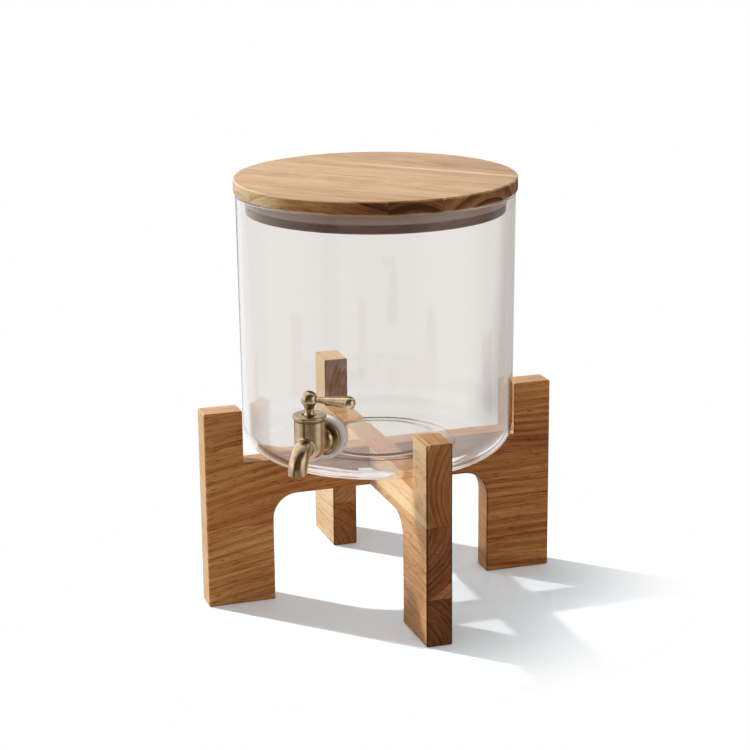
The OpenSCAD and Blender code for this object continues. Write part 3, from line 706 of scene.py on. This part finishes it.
def makeLid():
    radius = lidHigh.x / mm
    thick = (lidHigh.z - lidLow.z) / mm
    edge = lid["edge"]
    steps = lid["edgeSteps"]
    disc = [(0, 0)] + arcPoints((radius - edge, edge), edge, -90, 0, steps) \
        + arcPoints((radius - edge, thick - edge), edge, 0, 90, steps) + [(0, thick)]
    side = lid["plugRadius"]
    depth = lid["plugDepth"]
    tall = lid["sealHeight"]
    shelf = depth - tall
    inner = side - lid["groove"]
    plug = [(0, 0)] + arcPoints((side - edge, edge), edge, -90, 0, steps) \
        + [(side, shelf - lid["shelfEdge"]), (side - lid["shelfEdge"], shelf), (inner, shelf),
           (inner, depth), (0, depth)]
    gap = lid["sealGap"]
    under = side - lid["sealBack"]  # the foot stands back, which leaves a dark line over the plug
    foot = side + lid["sealFoot"]
    seal = [(inner + gap, gap), (under, gap), (under, lid["sealStep"])] \
        + [(foot + out, up) for out, up in lid["footEdge"]] \
        + [(lid["sealRadius"] - back, tall - down) for back, down in lid["lipEdge"]] \
        + [(inner + gap, tall - gap), (inner + gap, gap)]
    for name, outline, drop, material, node, slot in (
            ("lidDisc", disc, 0, lidAcacia, "lid_disc", "acacia_lid"),
            ("lidPlug", plug, depth, plugAcacia, "lid_plug", "acacia_lid"),
            ("lidSeal", seal, tall, sealSilicone, "lid_seal", "silicone")):
        piece = turnPiece(name, outline, lid["steps"])
        settle(piece, place=(0, 0, lidLow.z - drop * mm))
        smoothFlat(piece)
        finishPiece(piece, material, "lid", node)


makeLid()
print("lid made")


# Tap: heights are from the tap's centre, distances from the jar's axis, in mm
tap = dict(reach=30.2, barrelRadius=10.5, barrelTop=19.8, topRing=3, domeRise=1.4, domeSteps=16,
           chamberRadius=6.7, chamberDrop=3.6, chamberLength=60, spoutReach=22.1, spoutRadius=6.55,
           spoutBend=13.5, spoutRise=2.6, spoutTip=1.3, spoutBore=4.8, spoutSpare=5, boreSpare=2,
           tipClear=9, spoutSteps=64, bendSteps=28, shankRadius=6.5, neckRadius=6.9, shoulderRadius=8.6,
           shoulderLength=4, shoulderFlat=2.4, shoulderEdge=0.4, shoulderTaper=1.2, flangeThick=3,
           gasketThick=5.2, grid=0.3, easing=50, steps=96)
glassRadius = barrelReach - tap["reach"]
flangeBack = glassRadius + tap["gasketThick"]
flangeFront = flangeBack + tap["flangeThick"]


def makeSpout(name, radius, tip):
    # a ring of edges drawn out level, spun through a quarter turn and drawn down
    level = (tap["spoutReach"] - tap["spoutBend"]) * mm
    deselectAll()
    bpy.ops.mesh.primitive_circle_add(vertices=tap["spoutSteps"], radius=radius * mm,
                                      location=(0, 0, tap["spoutRise"] * mm), rotation=(quarter, 0, 0))
    spout = bpy.context.object
    spout.name = name
    bpy.ops.object.transform_apply(location=True, rotation=True, scale=True)
    bpy.ops.object.mode_set(mode="EDIT")
    bpy.ops.mesh.select_mode(type="EDGE")
    bpy.ops.mesh.select_all(action="SELECT")
    bpy.ops.mesh.extrude_region_move(TRANSFORM_OT_translate={"value": (0, -level, 0)})
    bpy.ops.mesh.spin(steps=tap["bendSteps"], angle=quarter, axis=(-1, 0, 0),
                      center=(0, -level, (tap["spoutRise"] - tap["spoutBend"]) * mm))
    bpy.ops.mesh.extrude_region_move(TRANSFORM_OT_translate={"value": (0, 0, -tip * mm)})
    closeMesh(fillEnds=True)
    settleOnBarrel(spout)
    return spout


def makeCasting():
    # barrel, spout and neck are fused on a fine grid and eased, as a casting's corners are
    radius = tap["barrelRadius"]
    outline = arcPoints((0, tap["domeRise"]), radius, -90, 0, tap["domeSteps"]) \
        + [(radius, tap["barrelTop"]), (0, tap["barrelTop"])]
    casting = turnPiece("tapCasting", outline, tap["steps"])
    settleOnBarrel(casting)
    neck = addRod("neck", tap["neckRadius"], barrelReach - flangeFront)
    settleOnShank(neck, flangeFront)
    spout = makeSpout("spout", tap["spoutRadius"], tap["spoutTip"] + tap["spoutSpare"])
    pick(casting)
    for part in (neck, spout):
        part.select_set(True)
    bpy.ops.object.join()
    casting.data.remesh_voxel_size = tap["grid"] * mm
    bpy.ops.object.voxel_remesh()
    applyModifier(casting, "SMOOTH", factor=0.5, iterations=tap["easing"])
    # the spout's end and the barrel's top are faced square, and the shoulder is turned
    tipHeight = (tap["spoutRise"] - tap["spoutBend"] - tap["spoutTip"]) * mm
    wide = 3 * radius * mm
    middle = -(barrelReach + tap["spoutReach"]) * mm
    tip = addBlock("tipCutter", (-wide, middle - wide, -2 * wide),
                   (wide, middle + tap["tipClear"] * mm, tipHeight))
    combine(casting, tip)
    top = addRod("barrelTop", radius, tap["topRing"])
    settleOnBarrel(top, tap["barrelTop"] - tap["topRing"])
    side = tap["shoulderRadius"]
    length = tap["shoulderLength"]
    shoulder = turnPiece("shoulder", [(0, 0), (side, 0), (side, tap["shoulderFlat"]),
                                      (side - tap["shoulderEdge"], tap["shoulderFlat"] + tap["shoulderEdge"]),
                                      (side - tap["shoulderTaper"], length), (0, length)], tap["steps"])
    settleOnShank(shoulder, flangeFront)
    for part in (top, shoulder):
        combine(casting, part, "UNION")
    chamber = addRod("chamber", tap["chamberRadius"], tap["chamberLength"])
    settleOnBarrel(chamber, -tap["chamberDrop"])
    combine(casting, chamber)
    combine(casting, makeSpout("spoutWay", tap["spoutBore"], tap["spoutTip"] + tap["boreSpare"]))
    finishTapPiece(casting, barrelBrass, "jar", "tap_body", angle=50)


makeCasting()
print("tap casting made")


# Fittings on the shank: heights here run along it, outwards from the jar's axis
fitting = dict(threadPitch=1.5, threadDepth=0.6, threadCrest=(0.45, 0.6), shankBore=2.8, shankBack=16,
               shankSpare=1, shankSteps=64, flangeRadius=12.4, flangeEdge=0.8, flangeBevel=0.4,
               flangeBore=6.6, recessDepth=0.4, recessGap=0.4,
               recessEdge=((1.8, 0.05), (2.6, 0.3)),  # in from the rim and down from the face
               gasketRadius=15.2, gasketEdge=1.3, gasketBack=8, gasketGap=0.02, dishDepth=0.25,
               dishEdge=(2.6, 2.9), glassGap=0.05, glassLength=80, glassSteps=512, nutFlats=19, nutThick=6,
               nutBack=13.5, nutBall=2, nutSquash=(0.93, 0.93, 0.5), nutEdge=0.25, steps=128)


def makeShank():
    outer = tap["shankRadius"]
    root = outer - fitting["threadDepth"]
    pitch = fitting["threadPitch"]
    bore = fitting["shankBore"]
    start = glassRadius - fitting["shankBack"]
    end = flangeFront + fitting["shankSpare"]
    profile = [(bore, start), (root, start)]
    for i in range(int((flangeBack - start) / pitch)):
        level = start + pitch * i
        profile += [(outer, level + share * pitch) for share in fitting["threadCrest"]]
        profile += [(root, level + pitch)]
    profile += [(outer, flangeBack), (outer, end), (bore, end), (bore, start)]
    shank = turnPiece("tapShank", profile, fitting["shankSteps"])
    settleOnShank(shank)
    finishTapPiece(shank, shankBrass, "jar", None, angle=20)


def makeFlange():
    outer = fitting["flangeRadius"]
    edge = fitting["flangeEdge"]
    bevel = fitting["flangeBevel"]
    bore = fitting["flangeBore"]
    thick = tap["flangeThick"]
    recess = thick - fitting["recessDepth"]
    profile = [(bore, 0), (outer - bevel, 0), (outer, bevel)] \
        + arcPoints((outer - edge, thick - edge), edge, 0, 90, 6) \
        + [(outer - back, thick - down) for back, down in fitting["recessEdge"]] \
        + [(tap["shoulderRadius"] + fitting["recessGap"], recess), (bore, recess), (bore, 0)]
    flange = turnPiece("tapFlange", profile, fitting["steps"])
    settleOnShank(flange, flangeBack)
    finishTapPiece(flange, shankBrass, "jar", "tap_flange_ring")


def makeGasket():
    # a thick ring whose back is cut to the jar's round
    outer = fitting["gasketRadius"]
    edge = fitting["gasketEdge"]
    bore = fitting["flangeBore"]
    back = glassRadius - fitting["gasketBack"]
    front = flangeBack - fitting["gasketGap"]
    dish = front - fitting["dishDepth"]
    rim, floor = fitting["dishEdge"]
    profile = [(bore, back), (outer, back)] + arcPoints((outer - edge, front - edge), edge, 0, 90, 8) \
        + [(outer - rim, front), (outer - floor, dish), (bore, dish), (bore, back)]
    gasket = turnPiece("tapGasket", profile, fitting["steps"])
    settleOnShank(gasket)
    length = fitting["glassLength"]
    jarRound = addRod("jarRound", glassRadius + fitting["glassGap"], length, fitting["glassSteps"])
    settle(jarRound, place=(0, 0, -length / 2 * mm))
    combine(gasket, jarRound)
    finishTapPiece(gasket, gasketSilicone, "jar", "tap_outer_gasket", angle=30)


def makeNut():
    corner = fitting["nutFlats"] / math.sqrt(3)
    thick = fitting["nutThick"]
    nut = addRod("tapNut", corner, thick, 6)
    ball = turnPiece("nutRound", arcPoints((0, 0), corner + fitting["nutBall"], -90, 90, 24), 64)
    settle(ball, place=(0, 0, thick / 2 * mm))
    ball.scale = fitting["nutSquash"]
    combine(nut, ball, "INTERSECT")
    bore = addRod("nutBore", fitting["flangeBore"], 3 * thick, 64)
    settle(bore, place=(0, 0, -thick * mm))
    combine(nut, bore)
    settleOnShank(nut, glassRadius - fitting["nutBack"])
    settleAtTap(nut)
    applyModifier(nut, "BEVEL", width=fitting["nutEdge"] * mm, segments=2, limit_method="ANGLE",
                  angle_limit=math.radians(35))
    smooth(nut, 25)
    finishPiece(nut, shankBrass, "jar", "tap_lock_nut")


makeShank()
makeFlange()
makeGasket()
makeNut()
print("shank fittings made")


# Cap and handle: heights are from the tap's centre
handle = dict(capRadius=11.6, capThick=2.2, capEdge=0.7, collarRadius=11, collarHeight=1, collarFoot=20.6,
              collarEdge=0.2, collarFillet=0.15, wellRadius=5.3, wellDepth=1.2, wellEdge=0.25, stemBore=2.6,
              spigotRadius=6.55, spigotFoot=13.3, footRadius=4, footEdge=0.2, footGap=0.3, neckRadius=3.4,
              neckFoot=((0.25, 0.5), (0, 1.1)),  # out from the neck and up from the cap
              neckHead=((0, 6.8), (0.1, 6.0), (0.4, 5.0)),  # out from the neck and down from the ball
              ballHeight=34.5, ballRadius=5.8, ballStart=-42, seatGap=0.45, grubRadius=1.25, grubRise=2.7,
              holeLength=10, leverReach=33.2, leverSeat=0.8, rootRadius=1.8, rootLength=0.6, endRadius=4.6,
              tangRadius=1.15, tangStart=1, steps=96)
capUnder = handle["collarFoot"] + handle["collarHeight"]
capTop = capUnder + handle["capThick"]


def makeCap():
    outer = handle["capRadius"]
    edge = handle["capEdge"]
    foot = handle["collarFoot"]
    collar = handle["collarRadius"]
    relief = handle["collarEdge"]
    fillet = handle["collarFillet"]
    well = handle["wellRadius"]
    rim = handle["wellEdge"]
    floor = capTop - handle["wellDepth"]
    bore = handle["stemBore"]
    spigot = handle["spigotRadius"]
    low = handle["spigotFoot"]
    profile = [(bore, low), (spigot, low), (spigot, foot), (collar - relief, foot), (collar, foot + relief),
               (collar, capUnder - fillet), (collar + fillet, capUnder)] \
        + arcPoints((outer - edge, capUnder + edge), edge, -90, 0, 5) \
        + arcPoints((outer - edge, capTop - edge), edge, 0, 90, 6) \
        + [(well + rim, capTop), (well, capTop - rim), (well, floor), (bore, floor), (bore, low)]
    cap = turnPiece("tapCap", profile, handle["steps"])
    settleOnBarrel(cap)
    finishTapPiece(cap, barrelBrass, "jar", "bonnet_cap")


def makeHub():
    foot = capTop - handle["wellDepth"] + handle["footGap"]
    side = handle["footRadius"]
    edge = handle["footEdge"]
    neck = handle["neckRadius"]
    ball = handle["ballHeight"]
    radius = handle["ballRadius"]
    profile = [(0, foot), (side - edge, foot), (side, foot + edge), (side, capTop)] \
        + [(neck + out, capTop + up) for out, up in handle["neckFoot"]] \
        + [(neck + out, ball - down) for out, down in handle["neckHead"]] \
        + arcPoints((0, ball), radius, handle["ballStart"], 90, 20)
    hub = turnPiece("handleHub", profile, handle["steps"])
    settleOnBarrel(hub)
    seat = addRod("leverSeat", handle["rootRadius"] + handle["seatGap"], handle["holeLength"], 48)
    settleOnBarrel(seat, ball, radius - handle["leverSeat"], (0, quarter, 0))
    combine(hub, seat)
    grub = addRod("grubHole", handle["grubRadius"], handle["holeLength"], 32)
    settleOnBarrel(grub, capTop + handle["grubRise"], -handle["stemBore"], (0, -quarter, 0))
    combine(hub, grub)
    finishTapPiece(hub, barrelBrass, "handle", "handle_hub")


def makeLever():
    root = handle["rootRadius"]
    end = handle["endRadius"]
    reach = handle["leverReach"]
    tang = handle["tangRadius"]
    low = handle["tangStart"]
    start = handle["ballRadius"] - handle["leverSeat"]
    lean = math.degrees(math.atan((end - root) / (reach - end - start)))
    profile = [(0, low), (tang, low), (tang, start), (root, start), (root, start + handle["rootLength"])] \
        + arcPoints((0, reach - end), end, -lean, 90, 16)
    lever = turnPiece("handleLever", profile, 64)
    settleOnBarrel(lever, handle["ballHeight"], 0, (0, quarter, 0))
    finishTapPiece(lever, leverBrass, "handle", "handle_lever")


makeCap()
makeHub()
makeLever()
print("cap and handle made")


# Pieces inside the tap and the jar keep their CAD meshes
for material, names in ((gasketSilicone, ["tap_inner_gasket"]), (shankBrass, ["tap_inner_washer"]),
                        (barrelBrass, ["valve_plug", "handle_grub_screw"]),
                        (blackRubber, ["valve_sleeve", "valve_o_ring"]), (washerFibre, ["bonnet_washer"])):
    for name in names:
        node = frame["nodes"][name]
        node.data.materials.clear()
        node.data.materials.append(material)
print("kept CAD nodes dressed")


# Stage: a white sweep under a low sun from behind on the left, in a room with pale and dark walls
stage = dict(floorSize=12, sunAzimuth=-46, sunElevation=40, sunStrength=3.3, sunAngle=2.0, fill=0.5,
             fadeFrom=(0.12, 0.235), shadowLift=0.10, paper=(1.02, 1.12, 1.2, 1), wallFrom=(0.25, 0.5),
             wallStrength=1.7, footStrength=1.15, ceilingStrength=1.7, ceilingFrom=(0.35, 0.6),
             dimFrom=(-0.45, 0.25))

# the room's walls by compass angle, as (share of a turn from behind the object, hex grey)
wallFeet = [(0.0, "#8f8c88"), (0.06, "#8f8c88"), (0.10, "#b5b2ac"), (0.16, "#b5b2ac"), (0.19, "#a39b8d"),
            (0.25, "#6b6357"), (0.26, "#3d362c"), (0.285, "#3d362c"), (0.31, "#a59c8d"), (0.35, "#efe9e0"),
            (0.42, "#efe9e0"), (0.47, "#958d80"), (0.55, "#8a8170"), (0.60, "#a39a89"), (0.63, "#b5ab99"),
            (0.64, "#1d1915"), (0.66, "#1d1915"), (0.68, "#b0a796"), (0.75, "#f6eee2"), (0.80, "#ffffff"),
            (0.97, "#ffffff"), (1.0, "#8f8c88")]
wallTops = [(0.0, "#ffffff"), (0.17, "#ffffff"), (0.19, "#8a8072"), (0.29, "#5d5548"), (0.31, "#e9e2d8"),
            (0.42, "#e9e2d8"), (0.46, "#534b3f"), (0.68, "#332d25"), (0.71, "#f3ebe0"), (0.80, "#ffffff"),
            (1.0, "#ffffff")]
# seen through the glass, the white backdrop ends in a grey flag on the right, outside the picture
backdrop = [(0.0, "#ffffff"), (0.085, "#ffffff"), (0.1, "#d0cdc9"), (0.2, "#d0cdc9"), (0.24, "#ffffff"),
            (1.0, "#ffffff")]


def roomColour(tree, vector, stops):
    # the colour of the wall in a direction from the middle of the room
    parts = addNode(tree, "SeparateXYZ", None, {0: vector})
    angle = addNode(tree, "Math", {"operation": "ARCTAN2"}, {0: parts.outputs["X"], 1: parts.outputs["Y"]})
    turn = addNode(tree, "Math", {"operation": "DIVIDE", 1: 2 * math.pi}, {0: angle})
    whole = addNode(tree, "Math", {**plus, 1: 1.0}, {0: turn})
    compass = addNode(tree, "Math", {"operation": "FRACT"}, {0: whole})
    return addNode(tree, "ValToRGB", {"stops": stops}, {"Fac": compass})


def mixByRay(tree, others, mirrored, behind, seen):
    # metal sees one thing, glass lets another through, and the camera sees a third
    path = addNode(tree, "LightPath")
    mix = others
    for ray, shown in (("Is Glossy Ray", mirrored), ("Is Transmission Ray", behind), ("Is Camera Ray", seen)):
        mix = addNode(tree, "MixShader", None, {0: path.outputs[ray], 1: mix, 2: shown})
    return mix


def makeFloor():
    deselectAll()
    bpy.ops.mesh.primitive_plane_add(size=stage["floorSize"])
    floor = bpy.context.object
    floor.name = "floor"
    material, tree, shader, coords = newMaterial("paperSweep")
    floor.data.materials.append(material)
    place = coords.outputs["Object"]
    distance = addNode(tree, "VectorMath", {"operation": "LENGTH"}, {0: place}).outputs["Value"]
    paleShare = addNode(tree, "MapRange", {"interpolation_type": "SMOOTHSTEP", "From": stage["fadeFrom"],
                                      "To": (stage["shadowLift"], 1.0)}, {"Value": distance})
    white = addNode(tree, "Emission", {"Strength": 1.0})
    # the camera sees a paper that evens out the warm light from the wood, so that shadows are grey
    path = addNode(tree, "LightPath")
    paper = addNode(tree, "Mix", {"data_type": "RGBA", 6: (1, 1, 1, 1), 7: stage["paper"]},
                    {0: path.outputs["Is Camera Ray"]})
    lit = addNode(tree, "BsdfDiffuse", None, {"Color": paper.outputs[2]})
    seen = addNode(tree, "MixShader", None, {0: paleShare, 1: lit, 2: white})
    # metal and glass see the white floor near the object, and the room's walls past it
    far = addNode(tree, "MapRange", {"From": stage["wallFrom"]}, {"Value": distance})
    walls = addNode(tree, "Emission", {"Strength": stage["footStrength"]},
                    {"Color": roomColour(tree, place, wallFeet)})
    mirrored = addNode(tree, "MixShader", None, {0: far, 1: seen, 2: walls})
    flag = addNode(tree, "Emission", {"Strength": 1.0}, {"Color": roomColour(tree, place, backdrop)})
    behind = addNode(tree, "MixShader", None, {0: far, 1: seen, 2: flag})
    adjust(shader, {"Base Color": hexColour("#a8a29c"), "Roughness": 0.9})
    mix = mixByRay(tree, shader, mirrored, behind, seen)
    join(tree, tree.nodes["Material Output"], {"Surface": mix})


def makeSun():
    azimuth = math.radians(stage["sunAzimuth"])
    elevation = math.radians(stage["sunElevation"])
    towards = Vector((math.cos(azimuth) * math.cos(elevation), math.sin(azimuth) * math.cos(elevation),
                      -math.sin(elevation)))
    deselectAll()
    bpy.ops.object.light_add(type="SUN", location=-towards)
    sun = bpy.context.object
    sun.name = "sun"
    sun.rotation_euler = towards.to_track_quat("-Z", "Y").to_euler()
    sun.data.energy = stage["sunStrength"]
    sun.data.angle = math.radians(stage["sunAngle"])
    sun.data.color = hexColour("#f6f8ff")[:3]
    sun.visible_glossy = False  # satin metal shows the bright wall on that side in its place


def makeRoom():
    world = bpy.data.worlds.new("studio")
    bpy.context.scene.world = world
    world.use_nodes = True
    tree = world.node_tree
    fill = tree.nodes["Background"]
    adjust(fill, {"Color": hexColour("#fffdfa"), "Strength": stage["fill"]})
    toward = addNode(tree, "TexCoord").outputs["Generated"]
    parts = addNode(tree, "SeparateXYZ", None, {0: toward})
    walls = addNode(tree, "Background", {"Strength": stage["wallStrength"]},
                    {"Color": roomColour(tree, toward, wallTops)})
    # the ceiling is dim over the camera and bright over the far side
    dim = addNode(tree, "MapRange", {"From": stage["dimFrom"]}, {"Value": parts.outputs["Y"]})
    paint = addNode(tree, "Mix", {"data_type": "RGBA", 6: hexColour("#3d372e"), 7: hexColour("#f2ede4")},
                    {0: dim})
    ceiling = addNode(tree, "Background", {"Strength": stage["ceilingStrength"]}, {"Color": paint.outputs[2]})
    overhead = addNode(tree, "MapRange", {"From": stage["ceilingFrom"]}, {"Value": parts.outputs["Z"]})
    room = addNode(tree, "MixShader", None, {0: overhead, 1: walls, 2: ceiling})
    flag = addNode(tree, "Background", {"Strength": 1.0}, {"Color": roomColour(tree, toward, backdrop)})
    white = addNode(tree, "Background", {"Color": (1, 1, 1, 1)})
    join(tree, tree.nodes["World Output"], {"Surface": mixByRay(tree, fill, room, flag, white)})


makeFloor()
makeSun()
makeRoom()
makeCamera()
bpy.context.scene.view_settings.view_transform = "Standard"
print("stage and camera made")
